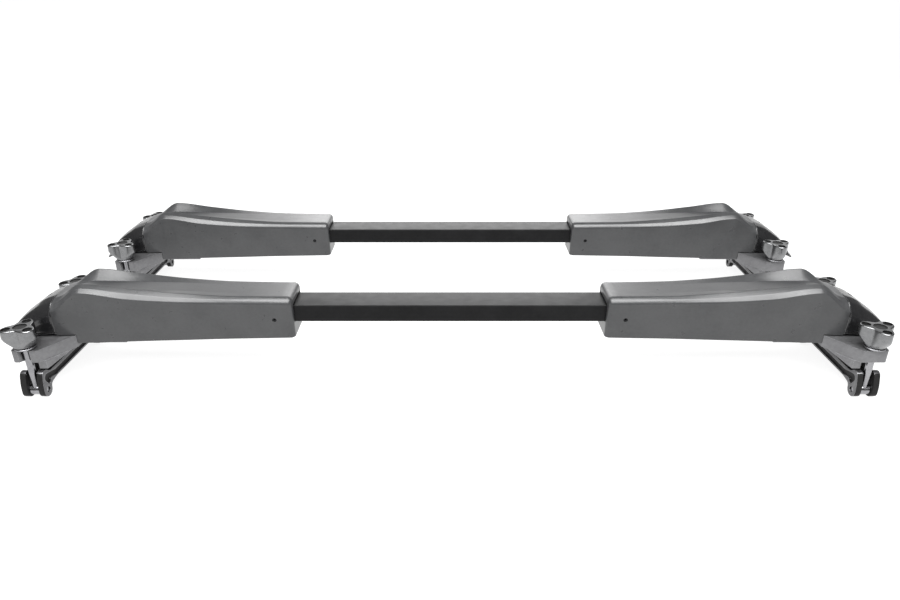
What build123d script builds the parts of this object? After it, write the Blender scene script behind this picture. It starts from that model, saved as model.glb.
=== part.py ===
from build123d import *
import os

# Pair of roof crossbars with raised moulded shells, held on the roof rails by two-knob clamps.
# Millimetres, +X along the bars, +Z up, origin on the floor under the centre of the pair.
# Every foot is drawn as the right-hand one of a bar that lies on the X axis: +X is outboard.
# The left foot is the same foot turned half a turn about Z.
# A value whose name ends in _z is a height measured up from the bar's top face.

# Crossbars
bar_spacing = 320.0
bar_width = 46.0
bar_height = 25.0
bar_wall = 2.0
bar_corner = 1.6
bar_end_x = 515.0
bar_above_floor = 112.0
fit_gap = 0.3

# Plugs in the bars' ends
plug_length = 16.0
plug_flange = 3.0
plug_wall = 2.0
plug_inset = 0.6
plug_fit = 0.05

# Shells: stations along the bar, each with its half widths and heights from the side to the bottom edge
shell_wall = 3.0
shell_start_x = 218.0
shell_end_x = 545.0
shell_flat_y = 13.0
end_wall = 4.0
#    x,     side y, side z, crest y, crest z, valley z, bottom y, bottom z
shell_stations = [
    (218.0, 34.0, 4.0, 24.0, 14.5, 14.5, 31.0, -46.5),
    (305.0, 34.5, 4.5, 24.5, 15.0, 15.0, 32.0, -47.5),
    (372.0, 37.0, 9.0, 26.0, 20.0, 18.5, 34.0, -48.5),
    (441.0, 40.0, 15.5, 27.0, 27.5, 20.5, 36.0, -49.5),
    (504.0, 42.0, 26.0, 28.0, 35.0, 21.5, 38.5, -50.5),
    (545.0, 46.0, 6.0, 27.0, 13.5, 15.0, 42.0, -50.5),
]
# How far each corner of the shell's inside moves down, as a share of the wall,
# so that the slopes keep their thickness
side_drop = 0.5
crest_drop = 1.2
valley_drop = 1.1
notch_x = 520.0
notch_z = -36.5
mouth_half_y = 24.2
mouth_top_z = 2.5
mouth_bottom_z = -25.8

# Set screws that lock the shell and the foot on the bar
screw_radius = 3.0
screw_length = 7.5
screw_z = -18.0
screw_gap = 0.4
shell_screw_x = 244.0
foot_screw_x = (474.0, 504.0)
socket_radius = 1.5
socket_depth = 3.0
screw_pad_half = 8.0
screw_pad_tall = 12.0
screw_pad_y = 33.0

# End covers, as stations of x, half width, shoulder height, top height and rim height
cover_wall = 2.5
cover_end_wall = 5.0
cover_stations = [
    (545.4, 45.6, 5.5, 13.2, -34.0),
    (566.0, 45.0, -3.0, 4.5, -35.5),
    (590.0, 43.0, -20.0, -13.5, -37.0),
    (605.0, 40.0, -31.0, -26.0, -42.0),
    (618.0, 36.0, -41.0, -39.0, -48.0),
    (622.0, 33.0, -46.0, -45.0, -50.0),
]
cover_draft = 1.5
shoulder_tall = 6.0
shoulder_wide = 4.0
crown_share = 0.5

# Lock in each cover
lock_x = 567.0
lock_z = 2.2
lock_tilt = 33.0
lock_radius = 5.5
lock_length = 15.0
lock_proud = 0.8
lock_fit = 0.1
key_slot = (1.6, 6.5, 2.5)
cam = (10.0, 6.0, 2.0)
cam_offset = 3.0
lock_boss_wall = 2.5
lock_boss_length = 9.0
lock_boss_depth = 6.0

# Feet
foot_start_x = 458.0
foot_neck_y = 28.0
plate_top_z = -38.0
plate_bottom_z = -55.5
body_bottom_z = -68.0
arm_start_x = 520.5
arm_start_y = 40.0
arm_end_x = 552.0
arm_end_y = 85.3
arm_corner = 5.0
prong_end_x = 587.0
plate_bow = (589.0, 60.3)
plate_outer_x = 594.0
rib_inset = 6.0
rib_end_x = 557.0
rib_outer_x = 590.0
rib_outer_y = 60.0
slope_start = (515.5, -49.0)
cradle_half_y = 27.5
cradle_top_z = -6.0
cradle_end_x = 535.0

# Clamps: one rod and knob at each end of the foot
clamp_x = 570.0
clamp_y = 77.0
rod_radius = 5.0
rod_top_z = -14.0
rod_hole_radius = 5.6
fork_flare = 3.0
fork_flare_depth = 4.0
pin_z = -102.3
pin_radius = 4.0
pin_inset = 1.5
running_fit = 0.05
barrel_radius = 7.0
barrel_length = 14.4
washer_radius = 13.5
washer_thickness = 2.0
washer_lift = 1.5

# Knobs
lobe_turns = (30, 150, 270)
knob_height = 29.0
knob_gap = 0.1
lobe_radius = 8.5
lobe_offset = 16.0
lobe_arm_width = 15.0
knob_hub_radius = 12.0
knob_waist_radius = 13.0
knob_rim_height = 12.0
knob_cap = 4.5
knob_rim_radius = 25.0
pocket_offset = 17.0
pocket_radius = 4.6
pocket_tall = 2.5
eye_radius = 7.0
eye_depth = 1.2

# Jaws, with the right-hand half of their outlines as (y, z) points
jaw_inner_x = 554.5
jaw_outer_x = 585.5
jaw_gap = 15.2
jaw_gap_start_y = 62.0
jaw_top_z = -80.0
jaw_bottom_z = -95.0
leg_y = 77.3
leg_radius = 9.7
horn = [(61.0, -80.0), (69.0, -76.5), (76.0, -73.5)]
horn_front = [(76.0, -73.5), (83.5, -81.0)]
arch = [(58.0, -96.4), (46.0, -95.0)]
jaw_pocket_depth = 2.5
jaw_pocket_top = [(0.0, -85.5), (52.0, -85.0)]
jaw_pocket_horn = [(52.0, -85.0), (66.0, -81.5), (74.5, -80.0)]
jaw_pocket_front = [(74.5, -80.0), (78.5, -84.0), (75.5, -92.5)]
jaw_pocket_toe = [(75.5, -92.5), (69.5, -96.2), (66.0, -91.5), (56.0, -92.2), (46.0, -92.5)]
jaw_pocket_bottom = [(46.0, -92.5), (0.0, -92.5)]

# Rubber pads
pad_thickness = 3.0
pad_half_y = 56.0
rail_pad_start_x = 548.0
rail_pad_end_x = 588.0
jaw_pad_inset = 1.5

# Cuts run past the faces that they open
overcut = 1.0
through = 200.0

BARS = {"front": -bar_spacing / 2, "rear": bar_spacing / 2}
SIDES = {"right": 0.0, "left": 180.0}


def height(z):
    """Height above the floor of a height measured from the bar's top face."""
    return bar_above_floor + z


def block(x0, x1, y0, y1, z0, z1):
    """Box between two corners, heights measured from the bar's top face."""
    size = Box(x1 - x0, y1 - y0, z1 - z0)
    return Pos((x0 + x1) / 2, (y0 + y1) / 2, height((z0 + z1) / 2)) * size


def upright(x, y, radius, z0, z1):
    """Vertical cylinder between two heights."""
    return Pos(x, y, height((z0 + z1) / 2)) * Cylinder(radius, z1 - z0)


def along_x(x0, x1, y, z, radius):
    """Cylinder along X between two places."""
    return Pos((x0 + x1) / 2, y, height(z)) * Rot(0, 90, 0) * Cylinder(radius, x1 - x0)


def screw_bore(x):
    """Cylinder right across the bar for a pair of set screws."""
    return Pos(x, 0, height(screw_z)) * Rot(90, 0, 0) * Cylinder(screw_radius + lock_fit, through)


def polygon(corners):
    return Face(Wire.make_polygon([Vector(*corner) for corner in corners], close=True))


def section(x, half_outline):
    """Closed face across the bar at x, from its right-hand half outline, bottom to top."""
    left_half = [(-y, z) for y, z in reversed(half_outline)]
    return polygon([(x, y, height(z)) for y, z in half_outline + left_half])


def loft_through(faces):
    return Solid.make_loft([face.outer_wire() for face in faces], ruled=True)


def moved_station(station, x):
    return (x,) + station[1:]


def shell_face(station, inset):
    """Section of the shell, or of its hollow when inset by the wall."""
    x, side_y, side_z, crest_y, crest_z, valley_z, bottom_y, bottom_z = station
    outline = [
        (bottom_y - inset, bottom_z - 2 * inset),
        (side_y - inset, side_z - side_drop * inset),
        (crest_y - inset / 2, crest_z - crest_drop * inset),
        (shell_flat_y, valley_z - valley_drop * inset),
    ]
    return section(x, outline)


def shell():
    """Moulded shell over the bar's end, open below, with a twin-crested top."""
    inner = [moved_station(shell_stations[0], shell_start_x + end_wall)]
    inner += shell_stations[1:-1]
    inner += [moved_station(shell_stations[-1], shell_end_x + overcut)]
    outside = loft_through([shell_face(station, 0) for station in shell_stations])
    body = outside - loft_through([shell_face(station, shell_wall) for station in inner])
    for side in (-1, 1):
        low, high = sorted((side * (bar_width / 2 + fit_gap), side * screw_pad_y))
        start, end = shell_screw_x - screw_pad_half, shell_screw_x + screw_pad_half
        body += block(start, end, low, high, screw_z - screw_pad_tall, screw_z + screw_pad_tall)
    mouth_start, mouth_end = shell_start_x - overcut, shell_start_x + end_wall + overcut
    body -= block(mouth_start, mouth_end, -mouth_half_y, mouth_half_y, mouth_bottom_z, mouth_top_z)
    body -= block(notch_x, shell_end_x + overcut, -through, through, -through, notch_z)
    return body - screw_bore(shell_screw_x)


def cover_face(station, inset):
    """Section of the cover, or of its hollow when inset by the wall."""
    x, half, shoulder_z, top_z, rim_z = station
    outline = [
        (half - cover_draft - inset, rim_z - 2 * inset),
        (half - inset, shoulder_z - shoulder_tall - inset),
        (half - shoulder_wide - inset, shoulder_z - inset),
        (crown_share * half, top_z - inset),
    ]
    return section(x, outline)


def lock_place():
    """Frame at the cover's surface where the lock sits, its Z along the lock's axis."""
    return Pos(lock_x, 0, height(lock_z)) * Rot(0, lock_tilt, 0)


def cover():
    """Cap over the outer end of the foot, open below and towards the shell."""
    start_x, end_x = cover_stations[0][0], cover_stations[-1][0]
    inner = [moved_station(cover_stations[0], start_x - overcut)]
    inner += cover_stations[1:-2]
    inner += [moved_station(cover_stations[-2], end_x - cover_end_wall)]
    outside = loft_through([cover_face(station, 0) for station in cover_stations])
    boss = Cylinder(lock_radius + lock_boss_wall, lock_boss_length)
    body = outside - loft_through([cover_face(station, cover_wall) for station in inner])
    body += lock_place() * Pos(0, 0, -lock_boss_depth) * boss
    return body - lock_place() * Cylinder(lock_radius + lock_fit, through / 3)


def lock():
    """Key barrel with its slot, and the cam at its inner end."""
    slot_width, slot_length, slot_depth = key_slot
    bottom = lock_proud - lock_length
    barrel = Pos(0, 0, lock_proud - lock_length / 2) * Cylinder(lock_radius, lock_length)
    barrel -= Pos(0, 0, lock_proud) * Box(slot_width, slot_length, 2 * slot_depth)
    arm = Pos(-cam_offset, 0, bottom - cam[2] / 2) * Box(*cam)
    return lock_place() * (barrel + arm)


def both_ends(half):
    """Closed outline seen from above, from its half at positive Y."""
    return half + [(x, -y) for x, y in reversed(half)]


def prism(outline, z0, z1):
    """Upright prism on an outline seen from above."""
    face = polygon([(x, y, height(z0)) for x, y in outline])
    return extrude(face, z1 - z0, dir=(0, 0, 1))


def clamp_plate():
    """Plate with an arm out to each clamp, its arms' end corners rounded."""
    half = [
        (foot_start_x, foot_neck_y),
        (arm_start_x, foot_neck_y),
        (arm_start_x, arm_start_y),
        (arm_end_x, arm_end_y),
        (prong_end_x, arm_end_y),
        plate_bow,
        (plate_outer_x, foot_neck_y),
    ]
    plate = prism(both_ends(half), plate_bottom_z, plate_top_z)
    upright_edges = plate.edges().filter_by(Axis.Z)
    end_edges = [edge for edge in upright_edges if abs(edge.center().Y) > arm_end_y - 1]
    return fillet(end_edges, arm_corner)


def wedge():
    """Thick underside of the plate, which slopes up towards the bar."""
    half = [
        (arm_start_x, foot_neck_y),
        (arm_start_x, arm_start_y),
        (arm_end_x - rib_inset, arm_end_y - rib_inset),
        (rib_end_x, arm_end_y - rib_inset),
        (rib_end_x, rib_outer_y),
        (rib_outer_x, rib_outer_y),
    ]
    body = prism(both_ends(half), body_bottom_z, plate_bottom_z)
    start_x, start_z = slope_start
    slope_end_x = arm_end_x - rib_inset
    cut = [(start_x, start_z), (slope_end_x, body_bottom_z), (start_x, body_bottom_z - overcut)]
    cut_face = polygon([(x, -through / 2, height(z)) for x, z in cut])
    return body - extrude(cut_face, through, dir=(0, 1, 0))


def foot():
    """Casting that carries the bar in a cradle and reaches out to the two clamps."""
    cradle = block(
        foot_start_x, cradle_end_x, -cradle_half_y, cradle_half_y, plate_top_z, cradle_top_z
    )
    trough_y = bar_width / 2 + fit_gap
    trough_z = -bar_height - fit_gap
    trough_end_x = cradle_end_x + overcut
    cradle -= block(foot_start_x - overcut, trough_end_x, -trough_y, trough_y, trough_z, 0)
    body = clamp_plate() + wedge() + cradle
    for y in (-clamp_y, clamp_y):
        body -= upright(clamp_x, y, rod_hole_radius, -through, 0)
    fork = (clamp_x - rod_hole_radius, clamp_x + rod_hole_radius)
    body -= block(*fork, clamp_y, arm_end_y + overcut, -through, 0)
    flare = [
        (fork[0], arm_end_y - fork_flare_depth),
        (fork[0] - fork_flare, arm_end_y + overcut),
        (fork[1] + fork_flare, arm_end_y + overcut),
        (fork[1], arm_end_y - fork_flare_depth),
    ]
    body -= prism(flare, -through, 0)
    for x in foot_screw_x:
        body -= screw_bore(x)
    return body


def set_screw(x, side):
    """Grub screw lying across the bar, with a hexagon socket in its outer end."""
    turn = Rot(-90, 0, 0) if side > 0 else Rot(90, 0, 0)
    screw = extrude(Circle(screw_radius), screw_length)
    socket = extrude(RegularPolygon(socket_radius, 6), socket_depth + overcut)
    screw -= Pos(0, 0, screw_length - socket_depth) * socket
    return Pos(x, side * (bar_width / 2 + screw_gap), height(screw_z)) * turn * screw


def set_screws():
    places = (shell_screw_x,) + foot_screw_x
    return Compound([set_screw(x, side) for x in places for side in (-1, 1)])


def rail_pad():
    """Rubber under the foot that sits on top of the rail."""
    bottom_z = body_bottom_z - pad_thickness
    return block(rail_pad_start_x, rail_pad_end_x, -pad_half_y, pad_half_y, bottom_z, body_bottom_z)


def jaw_pad():
    """Rubber on the jaw that grips the rail from below."""
    start_x, end_x = jaw_inner_x + jaw_pad_inset, jaw_outer_x - jaw_pad_inset
    return block(start_x, end_x, -pad_half_y, pad_half_y, jaw_top_z, jaw_top_z + pad_thickness)


def jaw_outline():
    """Right-hand half of the jaw's side: a shallow bow that drops to a rounded leg."""
    leg_outer = (leg_y + leg_radius, pin_z)
    leg_inner = (leg_y - leg_radius, pin_z)
    return [
        Line((0, jaw_top_z), horn[0]),
        Spline(*horn, tangents=((1, 0), (1, 0))),
        Spline(*horn_front, leg_outer, tangents=((1, 0), (0, -1))),
        ThreePointArc(leg_outer, (leg_y, pin_z - leg_radius), leg_inner),
        Spline(leg_inner, *arch, tangents=((-0.2, 1), (-1, 0))),
        Line(arch[-1], (0, jaw_bottom_z)),
    ]


def jaw_pocket_outline():
    """Right-hand half of the recess in the jaw's side, deep over the leg and slim along the middle."""
    return [
        Line(*jaw_pocket_top),
        Spline(*jaw_pocket_horn),
        Spline(*jaw_pocket_front),
        Spline(*jaw_pocket_toe),
        Line(*jaw_pocket_bottom),
    ]


def side_face(half_edges):
    """Face square to X on the edges of its right-hand half, mirrored to the left."""
    plane = Plane(origin=(0, 0, bar_above_floor), x_dir=(0, 1, 0), z_dir=(1, 0, 0))
    closing_line = Line(half_edges[-1] @ 1, half_edges[0] @ 0)
    half = make_face(Wire(half_edges + [closing_line]))
    return plane * (half + mirror(half, Plane.YZ))


def jaw():
    """Lower jaw: a bowed beam with a clevis for a rod at each end."""
    width = jaw_outer_x - jaw_inner_x
    body = Pos(jaw_inner_x, 0, 0) * extrude(side_face(jaw_outline()), width, dir=(1, 0, 0))
    pocket = extrude(side_face(jaw_pocket_outline()), jaw_pocket_depth, dir=(1, 0, 0))
    for x in (jaw_inner_x, jaw_outer_x - jaw_pocket_depth):
        body -= Pos(x, 0, 0) * pocket
    gap_start, gap_end = clamp_x - jaw_gap / 2, clamp_x + jaw_gap / 2
    for end in (-1, 1):
        low, high = sorted((end * jaw_gap_start_y, end * through))
        body -= block(gap_start, gap_end, low, high, -through, 0)
        pin_bore = pin_radius + running_fit
        body -= along_x(jaw_inner_x - overcut, jaw_outer_x + overcut, end * clamp_y, pin_z, pin_bore)
    return body


def rod(end):
    """Clamp rod with its cross pin, which turns in the clevis."""
    y = end * clamp_y
    half_barrel = barrel_length / 2
    shank = upright(clamp_x, y, rod_radius, pin_z, rod_top_z)
    barrel = along_x(clamp_x - half_barrel, clamp_x + half_barrel, y, pin_z, barrel_radius)
    pin = along_x(jaw_inner_x + pin_inset, jaw_outer_x - pin_inset, y, pin_z, pin_radius)
    return shank + barrel + pin


def washer(end):
    y = end * clamp_y
    bottom_z = plate_top_z + washer_lift
    top_z = bottom_z + washer_thickness
    disc = upright(clamp_x, y, washer_radius, bottom_z, top_z)
    bore = upright(clamp_x, y, rod_radius + running_fit, bottom_z - overcut, top_z + overcut)
    return disc - bore


def lobed_prism():
    """Three lobes joined to the hub, before the underside is tapered."""
    outline = Circle(knob_waist_radius)
    for turn in lobe_turns:
        lobe = Pos(lobe_offset, 0, 0) * Circle(lobe_radius)
        arm = Pos(lobe_offset / 2, 0, 0) * Rectangle(lobe_offset, lobe_arm_width)
        outline += Rot(0, 0, turn) * (lobe + arm)
    return extrude(outline, knob_height)


def knob(end):
    """Three-lobed hand knob with a tapered underside and shallow pockets in its top."""
    profile = [
        (0, 0),
        (knob_hub_radius, 0),
        (knob_rim_radius, knob_height - knob_rim_height),
        (knob_rim_radius, knob_height),
        (0, knob_height),
    ]
    body = lobed_prism() & revolve(polygon([(r, 0, z) for r, z in profile]), Axis.Z)
    body -= Cylinder(rod_radius + running_fit, 2 * (knob_height - knob_cap))
    body -= Pos(0, 0, knob_height) * Cylinder(eye_radius, 2 * eye_depth)
    for turn in lobe_turns:
        pocket = Cylinder(pocket_radius, 2 * pocket_tall)
        body -= Rot(0, 0, turn) * Pos(pocket_offset, 0, knob_height) * pocket
    bottom_z = plate_top_z + washer_lift + washer_thickness + knob_gap
    return Pos(clamp_x, end * clamp_y, height(bottom_z)) * body


def crossbar():
    """Rectangular tube along the X axis."""
    outline = RectangleRounded(bar_width, bar_height, bar_corner)
    inside_width, inside_height = bar_width - 2 * bar_wall, bar_height - 2 * bar_wall
    outline -= RectangleRounded(inside_width, inside_height, bar_corner / 2)
    tube = extrude(Plane.YZ * outline, bar_end_x, both=True)
    return Pos(0, 0, height(-bar_height / 2)) * tube


def end_plug(side):
    """Plastic plug in the open end of the bar."""
    inner_x = bar_end_x - plug_length
    stem_width = bar_width - 2 * bar_wall - 2 * plug_fit
    stem_height = bar_height - 2 * bar_wall - 2 * plug_fit
    stem_outline = RectangleRounded(stem_width, stem_height, bar_corner / 2 + plug_fit)
    stem = extrude(Plane.YZ * stem_outline, plug_length)
    hollow_width, hollow_height = stem_width - 2 * plug_wall, stem_height - 2 * plug_wall
    hollow = extrude(Plane.YZ * Rectangle(hollow_width, hollow_height), plug_length - plug_wall)
    stem_place = Pos(inner_x, 0, height(-bar_height / 2))
    lip_y = bar_width / 2 - plug_inset
    lip_bottom_z = plug_inset - bar_height
    lip = block(bar_end_x, bar_end_x + plug_flange, -lip_y, lip_y, lip_bottom_z, -plug_inset)
    return Rot(0, 0, SIDES[side]) * (stem_place * (stem - hollow) + lip)


def placed(shape, bar, side):
    return Pos(0, BARS[bar], 0) * Rot(0, 0, SIDES[side]) * shape


def clamp_ends(side):
    """Names of the two clamps of a foot, with their end in the right-hand foot's own frame."""
    return {"fore": -1, "aft": 1} if side == "right" else {"fore": 1, "aft": -1}


def save(shape, name):
    export_step(shape, os.path.join("parts", name + ".step"))


os.makedirs("parts", exist_ok=True)
foot_pieces = {
    "shell": shell(),
    "cover": cover(),
    "lock": lock(),
    "foot": foot(),
    "set_screws": set_screws(),
    "rail_pad": rail_pad(),
    "jaw": jaw(),
    "jaw_pad": jaw_pad(),
}
clamp_pieces = {"rod": rod, "washer": washer, "knob": knob}
for bar, bar_y in BARS.items():
    save(Pos(0, bar_y, 0) * crossbar(), f"{bar}_crossbar")
    plugs = Compound([end_plug(side) for side in SIDES])
    save(Pos(0, bar_y, 0) * plugs, f"{bar}_end_plugs")
    for side in SIDES:
        for piece, shape in foot_pieces.items():
            save(placed(shape, bar, side), f"{bar}_{side}_{piece}")
        for end_name, end in clamp_ends(side).items():
            for piece, make in clamp_pieces.items():
                save(placed(make(end), bar, side), f"{bar}_{side}_{end_name}_{piece}")
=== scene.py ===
import itertools
import math

import bmesh
import bpy
from mathutils import Matrix, Vector


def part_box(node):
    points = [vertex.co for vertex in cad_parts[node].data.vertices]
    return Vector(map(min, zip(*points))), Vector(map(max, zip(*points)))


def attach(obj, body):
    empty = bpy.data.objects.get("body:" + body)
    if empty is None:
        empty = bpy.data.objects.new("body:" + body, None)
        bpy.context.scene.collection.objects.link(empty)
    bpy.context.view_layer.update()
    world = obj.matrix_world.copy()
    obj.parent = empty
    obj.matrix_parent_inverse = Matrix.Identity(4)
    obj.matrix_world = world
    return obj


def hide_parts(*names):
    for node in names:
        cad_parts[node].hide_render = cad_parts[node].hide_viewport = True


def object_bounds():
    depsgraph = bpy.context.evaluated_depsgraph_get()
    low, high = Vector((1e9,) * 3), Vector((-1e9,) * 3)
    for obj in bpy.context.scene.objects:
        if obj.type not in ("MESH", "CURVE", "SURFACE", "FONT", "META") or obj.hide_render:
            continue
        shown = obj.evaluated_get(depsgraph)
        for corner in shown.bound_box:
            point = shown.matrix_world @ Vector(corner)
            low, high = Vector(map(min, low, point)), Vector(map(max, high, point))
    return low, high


# Looks of a pair of roof crossbars with raised moulded shells.
#
# Pieces are drawn in the right-hand foot's own frame and placed at the four feet:
# millimetres, +X outboard, Y from the bar's centre line, Z up from the bar's top face.

MM = 0.001

# Mouldings, in millimetres; the steps are numbers of stretches between points
ARC = 5
SMALLEST_TRIM = 0.6
END_ROUND = 7.0
END_ROUND_STEPS = 6
END_WALL = 4.0
END_FACING = 0.9995
SHELL_STRAIGHT = (4, 1, 1, 2, 2)
SHELL_STEPS = 30
SHELL_LAST_STEPS = 7
SHELL_WALL = 3.0
SHELL_SMOOTH = 28.0
PEAK_X = 504.0
PEAK_SOFT = 1.5
MOUTH_HALF = 24.2
MOUTH_LOW = -25.8
MOUTH_HIGH = 2.5
MOUTH_STEPS = 14
SCREW_X = 244.0
SCREW_Z = -18.0
SCREW_HOLE = 3.05
SCREW_HOLE_LONG = 90.0
NOTCH_X = 520.0
NOTCH_Z = -36.5
NOTCH_LOW = -70.0
NOTCH_HALF = 60.0
COVER_STRAIGHT = (9, 1, 2, 2)
COVER_STEPS = 20
COVER_WALL = 2.5
COVER_SMOOTH = 32.0
BEAD_TALL = 1.1
BEAD_WIDE = 3.2
BEAD_STEPS = 6
LIP_TALL = 0.9
LIP_WIDE = 5.0
LOCK_SPOT = (567.0, 0.0, 2.2)
LOCK_HOLE = 5.6
LOCK_HOLE_LONG = 26.0
LOCK_TILT = 33.0

# Knob, in millimetres
KNOB_MEAN = 19.0
KNOB_WAVE = 5.5
KNOB_LOBE = 30.0
KNOB_CONE = (12.0, 25.0, 17.0)
KNOB_BLEND = 0.8
KNOB_TAPER_STEPS = 6
KNOB_EDGE = 1.8
KNOB_EDGE_STEPS = 5
KNOB_BORE = 5.15
KNOB_BORE_DEPTH = 10
KNOB_SIDES = 90
KNOB_SMOOTH = 40.0
POCKET_RADIUS = 6.0
POCKET_OFFSET = 16.6
POCKET_DEPTH = 2.5
EYE_RADIUS = 8.8
EYE_DEPTH = 1.2
BLACK_DEPTH = 4
ROUND_SIDES = 48

# Surface patterns, in cycles per metre; the grains are for a grain of 1 mm
BLOTCHES = 22.0
MOTTLE = 240.0
GLOSS_PATCHES = 60.0
EDGE_WEAR_AND_HIGHLIGHT_PATCHES = 90.0
COARSE_GRAIN = 700.0
FINE_GRAIN = 1500.0
GRAIN_STRENGTH = 0.6
COAT_ROUGHNESS = 0.12

# Mesh clean-up and rounding of the plain pieces, in degrees and metres
FLAT_ANGLE = 1.5
SHARP_ANGLE = 30.0
MERGE = 2e-6
SAME_POINT = 1e-7
NO_LENGTH = 1e-9

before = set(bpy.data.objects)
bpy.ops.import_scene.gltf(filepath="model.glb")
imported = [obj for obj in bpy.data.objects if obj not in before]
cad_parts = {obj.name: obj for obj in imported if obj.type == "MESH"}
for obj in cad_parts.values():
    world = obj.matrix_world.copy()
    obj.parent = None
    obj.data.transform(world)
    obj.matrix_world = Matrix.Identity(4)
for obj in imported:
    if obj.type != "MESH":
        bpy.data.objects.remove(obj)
cad_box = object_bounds()


# ---------------------------------------------------------------- places

FEET = [(bar, side) for bar in ("front", "rear") for side in ("right", "left")]


def foot_place(bar, side):
    """Matrix from a foot's own frame, in metres, to the row frame."""
    low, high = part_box(f"{bar}_crossbar")
    turn = math.pi if side == "left" else 0.0
    return Matrix.Translation((0, (low.y + high.y) / 2, high.z)) @ Matrix.Rotation(turn, 4, "Z")


TO_FOOT = foot_place("front", "right").inverted()


def foot_box(piece):
    """Corners of a node of the front right foot, in that foot's frame, in millimetres."""
    low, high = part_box(f"front_right_{piece}")
    return (TO_FOOT @ low) / MM, (TO_FOOT @ high) / MM


shell_low, shell_high = foot_box("shell")
cover_low, cover_high = foot_box("cover")
knob_low, knob_high = foot_box("fore_knob")
washer_low, washer_high = foot_box("fore_washer")
clamp_x = (washer_low.x + washer_high.x) / 2
clamp_y = -(washer_low.y + washer_high.y) / 2


def clamp_names(side):
    """Names of the closed and the open end's clamp on a foot."""
    return ("fore", "aft") if side == "right" else ("aft", "fore")


# ---------------------------------------------------------------- materials

def node(tree, kind, **values):
    """A new node with the given inputs and settings."""
    made = tree.nodes.new(kind)
    for key, value in values.items():
        if key in made.inputs:
            made.inputs[key].default_value = value
        else:
            setattr(made, key, value)
    return made


def noise(tree, coordinates, scale, detail=3.0, roughness=0.5):
    """Grey noise; the scale is in cycles per metre."""
    made = node(tree, "ShaderNodeTexNoise", Scale=scale, Detail=detail, Roughness=roughness)
    tree.links.new(coordinates, made.inputs["Vector"])
    return made.outputs["Fac"]


def spread(tree, source, low, high, start=0.3, end=0.7):
    """A grey pattern brought to a range."""
    made = node(tree, "ShaderNodeMapRange")
    made.inputs["From Min"].default_value = start
    made.inputs["From Max"].default_value = end
    made.inputs["To Min"].default_value = low
    made.inputs["To Max"].default_value = high
    tree.links.new(source, made.inputs["Value"])
    return made.outputs["Result"]


def mixed(tree, factor, first, second):
    """Colour mix; each end is a colour or another node's output."""
    made = node(tree, "ShaderNodeMix", data_type="RGBA")
    tree.links.new(factor, made.inputs["Factor"])
    colours = [socket for socket in made.inputs if socket.type == "RGBA"]
    for socket, value in zip(colours, (first, second)):
        if isinstance(value, bpy.types.NodeSocket):
            tree.links.new(value, socket)
        else:
            socket.default_value = (*value, 1.0)
    return next(socket for socket in made.outputs if socket.type == "RGBA")


def times(tree, source, factor):
    """A value scaled by a number."""
    made = node(tree, "ShaderNodeMath", operation="MULTIPLY")
    tree.links.new(source, made.inputs[0])
    made.inputs[1].default_value = factor
    return made.outputs[0]


def added(tree, first, second):
    """The sum of two values."""
    made = node(tree, "ShaderNodeMath", operation="ADD")
    tree.links.new(first, made.inputs[0])
    tree.links.new(second, made.inputs[1])
    return made.outputs[0]


def worn_and_highlit_edges(tree, width, coordinates):
    """Share of edge lightening, partly worn edges and partly painted highlight: high where the surface
    bends within a width in mm, broken up by a pattern.
    """
    bevel = node(tree, "ShaderNodeBevel", samples=4, Radius=width * MM)
    geometry = node(tree, "ShaderNodeNewGeometry")
    bend = node(tree, "ShaderNodeVectorMath", operation="DOT_PRODUCT")
    tree.links.new(bevel.outputs["Normal"], bend.inputs[0])
    tree.links.new(geometry.outputs["Normal"], bend.inputs[1])
    edge = spread(tree, bend.outputs["Value"], 1.0, 0.0, 0.90, 0.99)
    patches = spread(tree, noise(tree, coordinates, EDGE_WEAR_AND_HIGHLIGHT_PATCHES, 5.0, 0.65), 0.35, 1.0, 0.35, 0.6)
    product = node(tree, "ShaderNodeMath", operation="MULTIPLY")
    tree.links.new(edge, product.inputs[0])
    tree.links.new(patches, product.inputs[1])
    return product.outputs[0]


def scratches(tree, coordinates, stretch, scale):
    """Fine lines along one axis, from a stretched noise."""
    mapping = node(tree, "ShaderNodeMapping")
    mapping.inputs["Scale"].default_value = stretch
    tree.links.new(coordinates, mapping.inputs["Vector"])
    return noise(tree, mapping.outputs["Vector"], scale, 2.0, 0.6)


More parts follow.
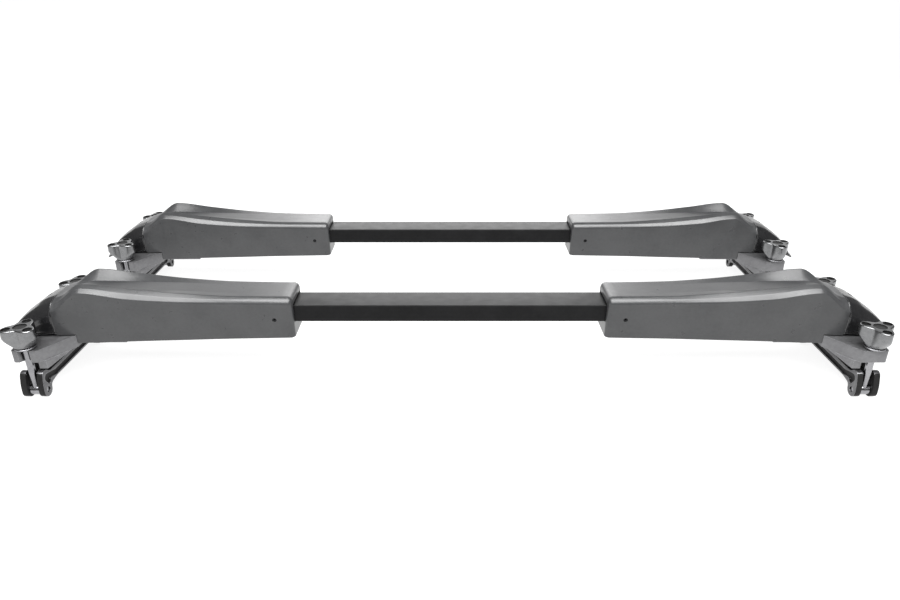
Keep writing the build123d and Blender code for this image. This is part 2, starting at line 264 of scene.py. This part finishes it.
def finish_material(name, dark, light, roughness, grain, depth, metallic=0.0, edge_wear_and_highlight=None,
                    lines=None, specular=0.5, coat=0.0):
    """Principled material with colour variation, broken roughness, fine grain and lighter edges,
    partly worn and partly painted highlight.

    dark and light are the ends of the base colour, roughness its (low, high) range, grain the
    size of the grain and depth its height in millimetres, the edge setting a (colour, width) of
    lighter edges, partly worn and partly painted highlight, and lines a (stretch, scale,
    strength) of fine machining or wiping marks.
    """
    material = bpy.data.materials.new(name)
    material.use_nodes = True
    tree = material.node_tree
    shader = tree.nodes["Principled BSDF"]
    shader.inputs["Metallic"].default_value = metallic
    shader.inputs["Specular IOR Level"].default_value = specular
    shader.inputs["Coat Weight"].default_value = coat
    shader.inputs["Coat Roughness"].default_value = COAT_ROUGHNESS
    coordinates = node(tree, "ShaderNodeTexCoord").outputs["Object"]
    blotches = added(
        tree,
        times(tree, noise(tree, coordinates, BLOTCHES, 4.0, 0.55), 0.6),
        times(tree, noise(tree, coordinates, MOTTLE, 3.0, 0.6), 0.4),
    )
    colour = mixed(tree, spread(tree, blotches, 0.0, 1.0, 0.38, 0.62), dark, light)
    gloss = spread(tree, noise(tree, coordinates, GLOSS_PATCHES, 5.0, 0.6), *roughness)
    fine = added(
        tree,
        times(tree, noise(tree, coordinates, FINE_GRAIN / grain, 1.0, 0.5), 0.5),
        times(tree, noise(tree, coordinates, COARSE_GRAIN / grain, 2.0, 0.5), 0.6),
    )
    if lines:
        stretch, scale, strength = lines
        marks = scratches(tree, coordinates, stretch, scale)
        gloss = added(tree, gloss, times(tree, marks, strength))
        fine = added(tree, fine, times(tree, marks, 0.8))
    # Lighter edges: partly worn, partly a painted highlight.
    if edge_wear_and_highlight:
        edge_wear_and_highlight_colour, width = edge_wear_and_highlight
        share = worn_and_highlit_edges(tree, width, coordinates)
        colour = mixed(tree, share, colour, edge_wear_and_highlight_colour)
    bump = node(tree, "ShaderNodeBump", Strength=GRAIN_STRENGTH, Distance=depth * MM)
    tree.links.new(fine, bump.inputs["Height"])
    tree.links.new(bump.outputs["Normal"], shader.inputs["Normal"])
    tree.links.new(colour, shader.inputs["Base Color"])
    tree.links.new(gloss, shader.inputs["Roughness"])
    return material


# The edge colours below lighten the edges: partly worn, partly a painted highlight.
shell_plastic = finish_material(
    "shell_plastic", (0.026, 0.0265, 0.0275), (0.035, 0.0355, 0.0365), (0.27, 0.34), 0.7, 0.04,
    specular=0.5,
)
cover_plastic = finish_material(
    "cover_plastic", (0.005, 0.005, 0.0055), (0.009, 0.009, 0.0095), (0.20, 0.28), 1.6, 0.012,
    edge_wear_and_highlight=((0.10, 0.10, 0.105), 0.6), coat=0.3,
)
bar_coat = finish_material(
    "bar_coat", (0.003, 0.003, 0.0032), (0.006, 0.006, 0.0063), (0.28, 0.38), 0.45, 0.03,
    edge_wear_and_highlight=((0.03, 0.03, 0.031), 0.5), lines=((0.02, 1.0, 1.0), 900.0, 0.06), specular=0.12,
)
foot_casting = finish_material(
    "foot_casting", (0.135, 0.135, 0.139), (0.185, 0.185, 0.19), (0.30, 0.42), 0.9, 0.05,
    metallic=0.8, edge_wear_and_highlight=((0.34, 0.34, 0.35), 0.9),
)
jaw_casting = finish_material(
    "jaw_casting", (0.085, 0.085, 0.088), (0.125, 0.125, 0.129), (0.28, 0.40), 0.9, 0.05,
    metallic=0.8, edge_wear_and_highlight=((0.34, 0.34, 0.35), 1.0),
)
# Painted shade: black for the jaw's sunk pockets and its fronts.
jaw_pocket_painted_shade = finish_material(
    "jaw_pocket_painted_shade", (0.004, 0.004, 0.004), (0.008, 0.008, 0.008), (0.45, 0.6), 0.7, 0.04,
    specular=0.2,
)
rod_chrome = finish_material(
    "rod_chrome", (0.22, 0.22, 0.23), (0.30, 0.30, 0.31), (0.12, 0.20), 0.5, 0.004,
    metallic=1.0, lines=((1.0, 1.0, 0.04), 1500.0, 0.05),
)
washer_steel = finish_material(
    "washer_steel", (0.20, 0.20, 0.21), (0.28, 0.28, 0.29), (0.28, 0.40), 0.6, 0.02,
    metallic=1.0, lines=((1.0, 1.0, 1.0), 1200.0, 0.10),
)
knob_metal = finish_material(
    "knob_metal", (0.17, 0.172, 0.175), (0.23, 0.232, 0.235), (0.24, 0.34), 0.5, 0.015,
    metallic=1.0, edge_wear_and_highlight=((0.62, 0.62, 0.63), 0.5),
)
knob_black = finish_material(
    "knob_black", (0.006, 0.006, 0.006), (0.011, 0.011, 0.011), (0.35, 0.5), 0.6, 0.03, specular=0.25,
)
lock_metal = finish_material(
    "lock_metal", (0.10, 0.10, 0.105), (0.18, 0.18, 0.185), (0.25, 0.38), 0.5, 0.01,
    metallic=1.0, lines=((1.0, 0.05, 1.0), 1400.0, 0.08),
)
screw_steel = finish_material(
    "screw_steel", (0.02, 0.02, 0.021), (0.035, 0.035, 0.037), (0.35, 0.5), 0.5, 0.02, metallic=0.9,
)
pad_rubber = finish_material(
    "pad_rubber", (0.012, 0.012, 0.012), (0.020, 0.020, 0.020), (0.70, 0.85), 0.5, 0.05,
    edge_wear_and_highlight=((0.05, 0.05, 0.05), 0.5),
)
inner_plastic = finish_material(
    "inner_plastic", (0.018, 0.018, 0.019), (0.028, 0.028, 0.029), (0.5, 0.65), 0.8, 0.04,
)


# ---------------------------------------------------------------- mesh helpers

def new_mesh(name, vertices, faces, materials, smooth_below=35.0):
    """Mesh data in metres from millimetres, shaded smooth up to an edge angle in degrees."""
    data = bpy.data.meshes.new(name)
    data.from_pydata([Vector(v) * MM for v in vertices], [], faces)
    for material in materials:
        data.materials.append(material)
    tidy = bmesh.new()
    tidy.from_mesh(data)
    bmesh.ops.remove_doubles(tidy, verts=tidy.verts, dist=SAME_POINT)
    bmesh.ops.recalc_face_normals(tidy, faces=tidy.faces)
    tidy.to_mesh(data)
    tidy.free()
    shade(data, smooth_below)
    return data


def shade(data, smooth_below):
    """Smooth shading, with creases above an edge angle in degrees."""
    data.shade_smooth()
    data.set_sharp_from_angle(angle=math.radians(smooth_below))


def place(data, name, matrix, body, nodes):
    """A piece on a body that stands for CAD nodes."""
    piece = bpy.data.objects.new(name, data)
    bpy.context.scene.collection.objects.link(piece)
    piece.matrix_world = matrix
    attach(piece, body)
    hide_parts(*nodes)
    return piece


def cut(data, cutters):
    """Takes closed meshes out of a mesh."""
    target = bpy.data.objects.new("cut_target", data)
    bpy.context.scene.collection.objects.link(target)
    tools = []
    for cutter in cutters:
        tool = bpy.data.objects.new("cut_tool", cutter)
        bpy.context.scene.collection.objects.link(tool)
        tools.append(tool)
        modifier = target.modifiers.new("cut", "BOOLEAN")
        modifier.operation = "DIFFERENCE"
        modifier.solver = "EXACT"
        modifier.object = tool
    graph = bpy.context.evaluated_depsgraph_get()
    result = bpy.data.meshes.new_from_object(target.evaluated_get(graph))
    for used in [target, *tools]:
        bpy.data.objects.remove(used)
    result.name = data.name
    return result


def softened(node_name, to_local, width, steps, material):
    """A CAD node's mesh with its flat faces merged and its sharp edges rounded by a width in mm."""
    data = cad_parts[node_name].data.copy()
    for name in ("custom_normal", "sharp_face", "sharp_edge"):
        if name in data.attributes:
            data.attributes.remove(data.attributes[name])
    data.materials.clear()
    data.materials.append(material)
    tidy = bmesh.new()
    tidy.from_mesh(data)
    bmesh.ops.transform(tidy, matrix=to_local, verts=tidy.verts)
    bmesh.ops.remove_doubles(tidy, verts=tidy.verts, dist=MERGE)
    bmesh.ops.dissolve_limit(
        tidy, angle_limit=math.radians(FLAT_ANGLE), verts=tidy.verts, edges=tidy.edges
    )
    limit = math.radians(SHARP_ANGLE)
    sharp = [e for e in tidy.edges if len(e.link_faces) == 2 and e.calc_face_angle(0) > limit]
    bmesh.ops.bevel(
        tidy, geom=sharp, offset=width * MM, segments=steps, profile=0.5, affect="EDGES",
        clamp_overlap=True, miter_outer="ARC",
    )
    bmesh.ops.remove_doubles(tidy, verts=tidy.verts, dist=MERGE)
    for face in tidy.faces:
        face.material_index = 0
    tidy.to_mesh(data)
    tidy.free()
    shade(data, SHARP_ANGLE)
    return data


def smooth_curve(points):
    """Function through (x, values...) points that is smooth and never overshoots them."""
    places = [p[0] for p in points]
    rows = [p[1:] for p in points]

    def slope(i, k):
        """Slope at a point: none at the ends and at turning points."""
        if i in (0, len(rows) - 1):
            return 0.0
        before = (rows[i][k] - rows[i - 1][k]) / (places[i] - places[i - 1])
        after = (rows[i + 1][k] - rows[i][k]) / (places[i + 1] - places[i])
        if before * after <= 0:
            return 0.0
        return 2 * before * after / (before + after)

    def value(x):
        """Values at a place, by a cubic between its two neighbours."""
        x = min(max(x, places[0]), places[-1])
        i = max(j for j in range(len(places) - 1) if places[j] <= x)
        width = places[i + 1] - places[i]
        t = (x - places[i]) / width
        found = []
        for k in range(len(rows[0])):
            a, b = rows[i][k], rows[i + 1][k]
            m0, m1 = slope(i, k) * width, slope(i + 1, k) * width
            h = (2 * t**3 - 3 * t**2 + 1) * a + (t**3 - 2 * t**2 + t) * m0
            found.append(h + (3 * t**2 - 2 * t**3) * b + (t**3 - t**2) * m1)
        return found

    return value


def rounded_line(corners, radii, arc_steps, straight_steps):
    """Points along a line with rounded corners; every line of the same counts gets as many points."""
    points = []
    last = Vector(corners[0])
    for i in range(1, len(corners)):
        here = Vector(corners[i])
        if i == len(corners) - 1:
            start, arc = here, [here]
        else:
            into = (here - Vector(corners[i - 1])).normalized()
            out = (Vector(corners[i + 1]) - here).normalized()
            turn = into.angle(out, 0.0)
            room = 0.48 * min(
                (here - Vector(corners[i - 1])).length, (Vector(corners[i + 1]) - here).length
            )
            trim = min(max(radii[i - 1] * math.tan(turn / 2), SMALLEST_TRIM), room)
            start, end = here - into * trim, here + out * trim
            arc = []
            for step in range(arc_steps + 1):
                t = step / arc_steps
                arc.append((1 - t) ** 2 * start + 2 * t * (1 - t) * here + t * t * end)
        steps = straight_steps[i - 1]
        points += [last.lerp(start, step / steps) for step in range(steps)]
        points += arc[:-1] if i < len(corners) - 1 else [here]
        last = arc[-1]
    return points


def moved_in(points, distance):
    """The same line moved to its left-hand side, towards the inside of a section."""
    moved = []
    for i, point in enumerate(points):
        before, after = points[max(i - 1, 0)], points[min(i + 1, len(points) - 1)]
        along = (after - before).normalized()
        moved.append(point + Vector((-along.y, along.x)) * distance)
    return moved


# ---------------------------------------------------------------- hollow mouldings

def section_line(values, radii_from, straight):
    """Line of a section from its lower front edge over the top to the lower back edge."""
    corners = list(zip(values[0:radii_from:2], values[1:radii_from:2]))
    radii = values[radii_from:]
    half = rounded_line(corners + [(0.0, corners[-1][1])], radii, ARC, straight)
    return half + [Vector((-p.x, p.y)) for p in reversed(half[:-1])]


def ring_faces(first, second, count, closed=False):
    """Quads between two rings of the same count, given by their first index."""
    last = count if closed else count - 1
    return [
        (first + j, first + (j + 1) % count, second + (j + 1) % count, second + j)
        for j in range(last)
    ]


def on_rectangle(point, centre, half_width, low, high):
    """Where a ray from a centre through a point meets a rectangle about that centre."""
    ray = point - centre
    sizes = [half_width / abs(ray.x)] if abs(ray.x) > NO_LENGTH else []
    if abs(ray.y) > NO_LENGTH:
        sizes.append((high - centre.y if ray.y > 0 else centre.y - low) / abs(ray.y))
    return centre + ray * min(sizes)


def sections_along(rows, kinks=()):
    """Section values at any x; the curve has a corner at each kink."""
    edges = [rows[0][0], *kinks, rows[-1][0]]
    parts = []
    for low, high in zip(edges, edges[1:]):
        parts.append((high, smooth_curve([row for row in rows if low <= row[0] <= high])))

    def value(x):
        """Values from the stretch that holds a place."""
        for high, curve in parts:
            if x <= high:
                return curve(x)
        return parts[-1][1](x)

    return value


SHELL_ROWS = [
    # x, bottom, shoulder, crease, ridge, valley edge (y and z each), four corner radii
    (218, 31, -46.5, 34, 6.1, 30.9, 11.4, 25.6, 14.5, 13.6, 14.5, 11, 11, 11, 6),
    (262, 31.5, -47, 34.1, 6.6, 31.1, 11.8, 25.7, 14.9, 13.6, 14.8, 10.5, 9, 9, 6),
    (305, 32, -47.5, 34.6, 7.6, 31.5, 12.6, 26, 15.6, 13.8, 15.3, 8.5, 4.5, 5, 6),
    (372, 34, -48.5, 37, 10.5, 32.6, 15.8, 26.2, 20, 14, 18.4, 6, 1.8, 2.4, 5),
    (441, 36, -49.5, 40, 16.5, 34.8, 23.0, 27, 27.5, 13.6, 20.4, 3, 0.9, 1.6, 3),
    (504, 38.5, -50.5, 41.4, 26.5, 35.4, 31.2, 27.6, 34.9, 13.6, 21.2, 1.8, 0.8, 1.5, 3),
    (545, 42, -50.5, 46.0, 2.0, 38.5, 9.4, 26, 13.4, 9, 14.9, 6, 4, 6, 4),
]


def shell_samples(start):
    """Places of the shell's sections, closer together at its rounded inner end and its peak."""
    end = shell_high.x
    turn = 90 // END_ROUND_STEPS
    near = [start + END_ROUND * (1 - math.cos(math.radians(a))) for a in range(0, 91, turn)]
    if start > shell_low.x:
        near = [start + (near[-1] - start) * i / END_ROUND_STEPS for i in range(END_ROUND_STEPS + 1)]
    before, after = PEAK_X - PEAK_SOFT, PEAK_X + PEAK_SOFT
    middle = [near[-1] + (before - near[-1]) * i / SHELL_STEPS for i in range(1, SHELL_STEPS + 1)]
    last = [after + (end - after) * i / SHELL_LAST_STEPS for i in range(SHELL_LAST_STEPS + 1)]
    return near + middle + last


def shell_sections(start, wall):
    """Rings of the shell's outer skin, or of its inner skin when there is a wall."""
    values = sections_along(SHELL_ROWS, kinks=(PEAK_X,))
    rings = []
    for x in shell_samples(start):
        line = section_line(values(x), 10, SHELL_STRAIGHT)
        into = max(END_ROUND - (x - shell_low.x), 0.0)
        inset = END_ROUND - math.sqrt(END_ROUND**2 - into**2)
        rings.append([(x, p.x, p.y) for p in moved_in(line, inset + wall)])
    return rings


def box_mesh(low, high):
    """Closed block between two corners, used as a cutter."""
    corners = list(itertools.product(*zip(low, high)))
    faces = [(0, 1, 3, 2), (4, 6, 7, 5), (0, 4, 5, 1), (2, 3, 7, 6), (0, 2, 6, 4), (1, 5, 7, 3)]
    return new_mesh("box", corners, faces, [])


def rod_mesh(centre, axis, radius, length, sides=40, tilt=None):
    """Closed round bar about a centre, along x, y or z."""
    points = []
    for end in (-length / 2, length / 2):
        for i in range(sides):
            angle = 2 * math.pi * i / sides
            a, b = radius * math.cos(angle), radius * math.sin(angle)
            spot = {"x": (end, a, b), "y": (b, end, a), "z": (a, b, end)}[axis]
            spot = Vector(spot)
            if tilt:
                spot.rotate(tilt)
            points.append(Vector(centre) + spot)
    faces = ring_faces(0, sides, sides, closed=True)
    faces += [tuple(range(sides))[::-1], tuple(range(sides, 2 * sides))]
    return new_mesh("rod", points, faces, [])


def two_skins(outer, inner):
    """Points and faces of an outer and an inner skin of equal rings, joined along both lower edges."""
    count, rows = len(outer[0]), len(outer)
    vertices = [p for ring in outer + inner for p in ring]
    faces = []
    for skin in (0, rows):
        for i in range(rows - 1):
            faces += ring_faces((skin + i) * count, (skin + i + 1) * count, count)
    for i in range(rows - 1):
        for j in (0, count - 1):
            a, b = i * count + j, (rows + i) * count + j
            faces.append((a, a + count, b + count, b))
    return vertices, faces


def mouth_line(spots):
    """The mouth's outline, with one point for each point of the ring around it."""
    centre = Vector((0.0, (MOUTH_LOW + MOUTH_HIGH) / 2))
    line = [on_rectangle(p, centre, MOUTH_HALF, MOUTH_LOW, MOUTH_HIGH) for p in spots]
    for corner in itertools.product((-MOUTH_HALF, MOUTH_HALF), (MOUTH_LOW, MOUTH_HIGH)):
        near = min(range(len(line)), key=lambda k: (line[k] - Vector(corner)).length)
        line[near] = Vector(corner)
    return line


def end_wall(vertices, faces, ring, first):
    """Adds a wall at a ring that leaves the mouth open, and returns its outer and inner loops."""
    x = ring[0][0]
    spots = [Vector((p[1], p[2])) for p in ring]
    across = [spots[-1].lerp(spots[0], t / MOUTH_STEPS) for t in range(1, MOUTH_STEPS)]
    base = len(vertices)
    vertices += [(x, p.x, p.y) for p in across]
    loop = [*range(first, first + len(ring)), *range(base, base + len(across))]
    start = len(vertices)
    vertices += [(x, p.x, p.y) for p in mouth_line(spots + across)]
    hole = list(range(start, start + len(loop)))
    faces += joined_loops(loop, hole)
    return loop, hole


def joined_loops(first, second, start=0):
    """Quads between two closed loops of points, from a given point on."""
    n = len(first)
    return [
        (first[k], first[(k + 1) % n], second[(k + 1) % n], second[k]) for k in range(start, n)
    ]


def shell_mesh():
    """Hollow shell, open below, with a mouth for the bar, a notch at its foot and screw holes."""
    outer = shell_sections(shell_low.x, 0.0)
    inner = shell_sections(shell_low.x + END_WALL, SHELL_WALL)
    vertices, faces = two_skins(outer, inner)
    count, rows = len(outer[0]), len(outer)
    faces += ring_faces((rows - 1) * count, (2 * rows - 1) * count, count)
    outer_loop, outer_hole = end_wall(vertices, faces, outer[0], 0)
    inner_loop, inner_hole = end_wall(vertices, faces, inner[0], rows * count)
    faces += joined_loops(outer_hole, inner_hole)
    faces += joined_loops(outer_loop, inner_loop, start=count - 1)
    data = new_mesh("shell", vertices, faces, [shell_plastic], SHELL_SMOOTH)
    past = shell_high.x + 5
    notch = box_mesh((NOTCH_X, -NOTCH_HALF, NOTCH_LOW), (past, NOTCH_HALF, NOTCH_Z))
    bore = rod_mesh((SCREW_X, 0, SCREW_Z), "y", SCREW_HOLE, SCREW_HOLE_LONG)
    data = cut(data, [notch, bore])
    shade(data, SHELL_SMOOTH)
    for face in data.polygons:
        if abs(face.normal.x) > END_FACING:
            face.use_smooth = False
    return data


COVER_ROWS = [
    # x, rim, shoulder, top edge, crown (y and z each), three corner radii
    (545.4, 42.8, -34, 45.6, -6, 35, 9.0, 17, 13.2, 22, 14, 30),
    (556, 43, -34.6, 45.6, -9, 35, 6.2, 17, 10.4, 22, 16, 30),
    (566, 43, -35.5, 45, -12, 34, 2.4, 17, 6.6, 22, 16, 30),
    (578, 42.6, -36.2, 44.3, -19, 33, -4.6, 16, -0.8, 20, 14, 26),
    (590, 41.8, -37, 43, -27, 32, -12.2, 15, -9.0, 16, 12, 22),
    (605, 38.6, -42, 39.8, -35.5, 30, -24.4, 14, -22, 12, 9, 16),
    (615, 35.4, -46.8, 36.4, -43.4, 28, -37.2, 13, -35.6, 8, 6, 12),
    (622, 32, -50, 32.8, -48.6, 26, -45.6, 12, -45, 3, 2.4, 5),
]


def cover_sections(end, wall):
    """Rings of the cover's outer skin with its bead and lip, or of its inner skin."""
    values = sections_along(COVER_ROWS)
    start = cover_low.x
    places = [start + BEAD_WIDE * i / BEAD_STEPS for i in range(BEAD_STEPS + 1)]
    places += [places[-1] + (end - places[-1]) * i / COVER_STEPS for i in range(1, COVER_STEPS + 1)]
    rings = []
    for x in places:
        line = section_line(values(x), 8, COVER_STRAIGHT)
        swell = math.sin(math.pi * min((x - start) / BEAD_WIDE, 1.0))
        if wall:
            rings.append([(x, p.x, p.y) for p in moved_in(line, wall)])
            continue
        bead = moved_in(line, -BEAD_TALL * swell)
        low = line[0].y
        ring = []
        for p in bead:
            near_rim = math.sin(math.pi * min(max((p.y - low) / LIP_WIDE, 0.0), 1.0))
            ring.append((x, p.x + math.copysign(LIP_TALL * near_rim, p.x), p.y))
        rings.append(ring)
    return rings


def cover_mesh():
    """Hollow cover, open below and towards the shell, with the lock's hole."""
    outer = cover_sections(cover_high.x, 0.0)
    inner = cover_sections(cover_high.x - END_WALL, COVER_WALL)
    vertices, faces = two_skins(outer, inner)
    count, rows = len(outer[0]), len(outer)
    faces += ring_faces(0, rows * count, count)
    nose, inner_nose = (rows - 1) * count, (2 * rows - 1) * count
    faces.append(tuple(range(nose, nose + count)))
    faces.append(tuple(range(inner_nose, inner_nose + count)))
    faces.append((nose, nose + count - 1, inner_nose + count - 1, inner_nose))
    data = new_mesh("cover", vertices, faces, [cover_plastic], COVER_SMOOTH)
    tilt = Matrix.Rotation(math.radians(LOCK_TILT), 3, "Y")
    data = cut(data, [rod_mesh(LOCK_SPOT, "z", LOCK_HOLE, LOCK_HOLE_LONG, tilt=tilt)])
    shade(data, COVER_SMOOTH)
    return data


# ---------------------------------------------------------------- knob

def knob_radius(angle, z, tall):
    """The lobed outline, held inside the taper below and rounded at the top edge."""
    small, large, cone_top = KNOB_CONE
    lobe = KNOB_MEAN + KNOB_WAVE * math.cos(3 * (angle - math.radians(KNOB_LOBE)))
    cone = small + (large - small) * min(z / cone_top, 1.0)
    blend = 0.5 * (lobe + cone - math.sqrt((lobe - cone) ** 2 + KNOB_BLEND))
    over = max(z - (tall - KNOB_EDGE), 0.0)
    return blend - (KNOB_EDGE - math.sqrt(max(KNOB_EDGE**2 - over**2, 0.0)))


def knob_heights(tall):
    """Heights of the knob's rings, closer together at its rounded top edge."""
    cone_top = KNOB_CONE[2]
    taper = [cone_top * (i / KNOB_TAPER_STEPS) for i in range(KNOB_TAPER_STEPS + 1)]
    flank = [cone_top + 4, cone_top + 8]
    turn = 90 // KNOB_EDGE_STEPS
    rounding = [tall - KNOB_EDGE * (1 - math.sin(math.radians(a))) for a in range(0, 91, turn)]
    return taper + flank + rounding


def knob_mesh():
    """Three-lobed knob about its own axis, its bottom at height 0 and one lobe at 30 degrees."""
    tall = knob_high.z - knob_low.z
    heights = knob_heights(tall)
    vertices = []
    for z in heights:
        for i in range(KNOB_SIDES):
            angle = 2 * math.pi * i / KNOB_SIDES
            r = knob_radius(angle, z, tall)
            vertices.append((r * math.cos(angle), r * math.sin(angle), z))
    faces = []
    for i in range(len(heights) - 1):
        faces += ring_faces(i * KNOB_SIDES, (i + 1) * KNOB_SIDES, KNOB_SIDES, closed=True)
    top = (len(heights) - 1) * KNOB_SIDES
    faces += [tuple(range(KNOB_SIDES)), tuple(range(top, top + KNOB_SIDES))]
    data = new_mesh("knob", vertices, faces, [knob_metal, knob_black], KNOB_SMOOTH)
    turns = [math.radians(KNOB_LOBE + 120 * i) for i in range(3)]
    centres = [Vector((POCKET_OFFSET * math.cos(t), POCKET_OFFSET * math.sin(t))) for t in turns]
    cutters = [rod_mesh((0, 0, tall), "z", EYE_RADIUS, 2 * EYE_DEPTH, ROUND_SIDES)]
    cutters += [
        rod_mesh((c.x, c.y, tall), "z", POCKET_RADIUS, 2 * POCKET_DEPTH, ROUND_SIDES) for c in centres
    ]
    cutters.append(rod_mesh((0, 0, 0), "z", KNOB_BORE, 2 * KNOB_BORE_DEPTH, ROUND_SIDES))
    data = cut(data, cutters)
    blacken_recesses(data, tall, centres)
    shade(data, KNOB_SMOOTH)
    return data


def blacken_recesses(data, tall, centres):
    """Black insert on the faces inside the pockets and the eye."""
    slack = 0.05
    for face in data.polygons:
        spot = Vector(face.center) / MM
        flat = Vector((spot.x, spot.y))
        in_pocket = any((flat - c).length < POCKET_RADIUS + slack for c in centres)
        in_eye = flat.length < EYE_RADIUS + slack
        below_top = tall - BLACK_DEPTH < spot.z < tall - slack
        face.material_index = int(below_top and (in_pocket or in_eye))


# ---------------------------------------------------------------- putting the pieces at the feet

PLAIN = {
    # piece: body, slot, material, edge rounding in mm, steps
    "foot": ("foot", "foot_casting", foot_casting, 1.5, 2),
    "jaw": ("jaw", "jaw_casting", jaw_casting, 1.6, 2),
    "rail_pad": ("foot", "pad_rubber", pad_rubber, 0.7, 2),
    "jaw_pad": ("jaw", "pad_rubber", pad_rubber, 0.7, 2),
    "lock": ("lock", "lock_metal", lock_metal, 0.4, 1),
    "set_screws": ("foot", "screw_steel", screw_steel, 0.4, 1),
}


def paint_jaw_shade(data):
    """Painted shade: black on the faces sunk below the jaw's two side faces, and on its fronts."""
    sink = 2 * MM
    data.materials.append(jaw_pocket_painted_shade)
    spots = [v.co.x for v in data.vertices]
    middle, half = (max(spots) + min(spots)) / 2, (max(spots) - min(spots)) / 2
    for face in data.polygons:
        sunk = abs(face.center.x - middle) < half - sink
        if (sunk and abs(face.normal.x) > 0.9) or abs(face.normal.y) > 0.75:
            face.material_index = 1


def dress_feet():
    """Places each piece's mesh at all four feet."""
    shell_data, cover_data, knob_data = shell_mesh(), cover_mesh(), knob_mesh()
    plain = {
        piece: softened(f"front_right_{piece}", TO_FOOT, width, steps, material)
        for piece, (_, _, material, width, steps) in PLAIN.items()
    }
    paint_jaw_shade(plain["jaw"])
    hardware = {}
    for end in ("fore", "aft"):
        hardware[end, "rod"] = softened(f"front_right_{end}_rod", TO_FOOT, 0.5, 1, rod_chrome)
        hardware[end, "washer"] = softened(f"front_right_{end}_washer", TO_FOOT, 0.4, 1, washer_steel)
    for bar, side in FEET:
        name = f"{bar}_{side}"
        at = foot_place(bar, side)
        place(shell_data, f"{name}_shell_skin", at, f"{name}_foot", [f"{name}_shell"])
        place(cover_data, f"{name}_cover_skin", at, f"{name}_cover", [f"{name}_cover"])
        for piece, (body, slot_name, _, _, _) in PLAIN.items():
            place(plain[piece], f"{name}_{piece}_skin", at, f"{name}_{body}", [f"{name}_{piece}"])
        closed, opened = clamp_names(side)
        for end, sign in ((closed, -1), (opened, 1)):
            own = "fore" if end == closed else "aft"
            rod_body = f"{name}_jaw" if end == closed else f"{name}_{end}_rod"
            place(hardware[own, "rod"], f"{name}_{end}_rod_skin", at, rod_body,
                  [f"{name}_{end}_rod"])
            place(hardware[own, "washer"], f"{name}_{end}_washer_skin", at, f"{name}_{end}_washer",
                  [f"{name}_{end}_washer"])
            spot = Matrix.Translation(Vector((clamp_x, sign * clamp_y, knob_low.z)) * MM)
            place(knob_data, f"{name}_{end}_knob_skin", at @ spot, f"{name}_{end}_knob",
                  [f"{name}_{end}_knob"])


def dress_bars():
    """The two tubes and their end plugs."""
    for bar in ("front", "rear"):
        centre = foot_place(bar, "right")
        for piece, slot_name, material in (
            ("crossbar", "bar_coat", bar_coat),
            ("end_plugs", "inner_plastic", inner_plastic),
        ):
            data = softened(f"{bar}_{piece}", centre.inverted(), 0.3, 1, material)
            place(data, f"{bar}_{piece}_skin", centre, f"{bar}_bar", [f"{bar}_{piece}"])


dress_feet()
dress_bars()


# ---------------------------------------------------------------- camera, floor and light

def studio_white():
    """Floor and backdrop paper, faintly mottled."""
    material = bpy.data.materials.new("studio_white")
    material.use_nodes = True
    tree = material.node_tree
    shader = tree.nodes["Principled BSDF"]
    coordinates = node(tree, "ShaderNodeTexCoord").outputs["Object"]
    tone = spread(tree, noise(tree, coordinates, 3.0), 0.0, 1.0)
    colour = mixed(tree, tone, (0.17, 0.17, 0.17), (0.19, 0.19, 0.19))
    tree.links.new(colour, shader.inputs["Base Color"])
    shader.inputs["Roughness"].default_value = 0.9
    shader.inputs["Specular IOR Level"].default_value = 0.1
    shader.inputs["Emission Color"].default_value = (1.0, 1.0, 1.0, 1.0)
    shader.inputs["Emission Strength"].default_value = 0.90
    return material


def backdrop():
    """Floor that curves up into a wall behind the object."""
    reach, radius, tall, gap = 5.0, 1.2, 4.0, 0.0005
    line = [(-reach, 0.0), (reach - radius, 0.0)]
    line += [
        (reach - radius + radius * math.sin(a), radius - radius * math.cos(a))
        for a in [math.radians(d) for d in range(10, 91, 10)]
    ]
    line.append((reach, tall))
    vertices = [(x / MM, y / MM, z / MM) for y, z in line for x in (-reach, reach)]
    faces = [(2 * i, 2 * i + 1, 2 * i + 3, 2 * i + 2) for i in range(len(line) - 1)]
    paper = bpy.data.objects.new("backdrop", new_mesh("backdrop", vertices, faces, [studio_white()]))
    paper.location.z = cad_box[0].z - gap
    bpy.context.scene.collection.objects.link(paper)


def soft_light(name, spot, target, width, height, power):
    """Rectangular light at a spot, turned towards a target; metres and watts."""
    data = bpy.data.lights.new(name, "AREA")
    data.shape = "RECTANGLE"
    data.size, data.size_y = width, height
    data.energy = power
    light = bpy.data.objects.new(name, data)
    light.location = spot
    light.rotation_euler = (Vector(target) - Vector(spot)).to_track_quat("-Z", "Y").to_euler()
    bpy.context.scene.collection.objects.link(light)


def studio():
    """Pale paper, three soft lights and a dim even sky."""
    backdrop()
    soft_light("overhead", (0.0, -0.56, 1.70), (0.0, -0.05, 0.1), 2.8, 0.85, 72.0)
    soft_light("front_high", (0.0, -1.90, 2.28), (0.0, -0.05, 0.1), 3.4, 1.45, 165.0)
    soft_light("behind", (0.0, 2.6, 1.5), (0.0, 0.0, 0.1), 1.8, 2.0, 36.0)
    world = bpy.data.worlds.new("studio")
    world.use_nodes = True
    sky = world.node_tree.nodes["Background"]
    sky.inputs["Color"].default_value = (1.0, 1.0, 1.0, 1.0)
    sky.inputs["Strength"].default_value = 0.16
    bpy.context.scene.world = world
    bpy.context.scene.view_settings.view_transform = "Standard"


def camera():
    """Wide-angle camera level with the car's roof, looking slightly down at the front bar."""
    data = bpy.data.cameras.new("camera")
    data.lens = 28.0
    data.sensor_width = 36.0
    viewer = bpy.data.objects.new("camera", data)
    viewer.location = (0.0, -1.063, 0.5285)
    viewer.rotation_euler = (math.radians(65.12), 0.0, 0.0)
    bpy.context.scene.collection.objects.link(viewer)
    bpy.context.scene.camera = viewer


studio()
camera()
